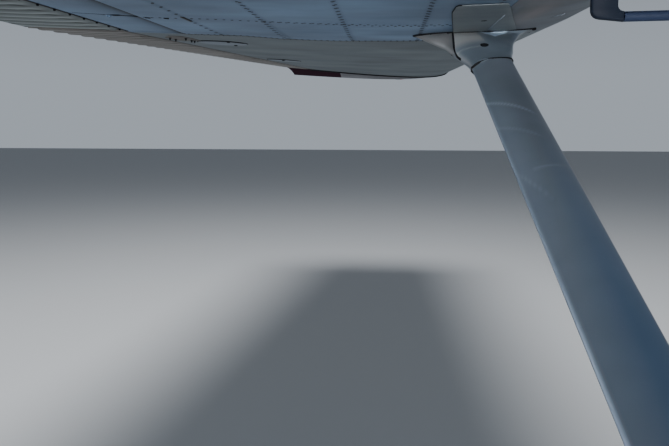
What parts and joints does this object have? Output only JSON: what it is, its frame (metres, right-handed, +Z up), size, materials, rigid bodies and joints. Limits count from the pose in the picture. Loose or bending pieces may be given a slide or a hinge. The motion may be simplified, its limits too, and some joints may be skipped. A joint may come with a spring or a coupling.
{
  "type": "strut-braced aircraft wing",
  "caption": "Left high-wing panel with tapered outer half, beaded slotted flap and aileron, lift strut with flared fairing, drooped tip and pitot tube",
  "frame": {"origin": "middle of the inboard end face of the front spar's root lug", "axes": "+X forward, +Y outboard along the span (left wing), +Z up"},
  "size_m": [1.6255, 4.945, 1.2578],
  "materials": {
    "wing_paint": "gloss",
    "bead_paint": "gloss",
    "alloy": "satin",
    "steel": "satin",
    "dark_metal": "satin",
    "red_lens": "gloss"
  },
  "bodies": {
    "wing": {"nose_skin_inboard": "wing_paint", "nose_skin_outboard": "wing_paint", "centre_box_inboard": "wing_paint", "centre_box_outboard": "wing_paint", "flap_bay": "wing_paint", "aileron_bay": "wing_paint", "tip_cap": "wing_paint", "position_light_base": "wing_paint", "strut_tube": "wing_paint", "strut_cuff": "wing_paint", "strut_cuff_tail": "wing_paint", "strut_doubler_plate": "wing_paint", "access_cover_1": "wing_paint", "access_cover_2": "wing_paint", "root_rib": "alloy", "fuel_cap": "alloy", "stall_warning_vane": "alloy", "aileron_bracket_1": "alloy", "aileron_bracket_2": "alloy", "aileron_bracket_3": "alloy", "front_spar_lug": "steel", "rear_spar_lug": "steel", "strut_foot_fork": "steel", "tie_down_eye": "steel", "flap_roller_lower_1": "steel", "flap_roller_upper_1": "steel", "flap_roller_lower_2": "steel", "flap_roller_upper_2": "steel", "flap_roller_lower_3": "steel", "flap_roller_upper_3": "steel", "pitot_mast": "dark_metal", "pitot_tube": "dark_metal", "position_light_lens": "red_lens"},
    "aileron": {"aileron": "bead_paint", "aileron_hinge_pin_1": "steel", "aileron_hinge_pin_2": "steel", "aileron_hinge_pin_3": "steel"},
    "flap": {"flap": "bead_paint", "flap_rail_1": "alloy", "flap_rail_2": "alloy", "flap_rail_3": "alloy"}
  },
  "joints": [
    {"name": "aileron_hinge", "type": "hinge", "parent": "wing", "child": "aileron", "pos_m": [-0.93484, 3.423, 0.08671], "axis": [0.0952, 0.9945, 0.043], "range_deg": [-15, 20]},
    {"name": "flap_track", "type": "hinge", "parent": "wing", "child": "flap", "pos_m": [-1.04425, 1, -0.15032], "axis": [0, -0.9995, -0.0302], "range_deg": [0, 40]}
  ]
}
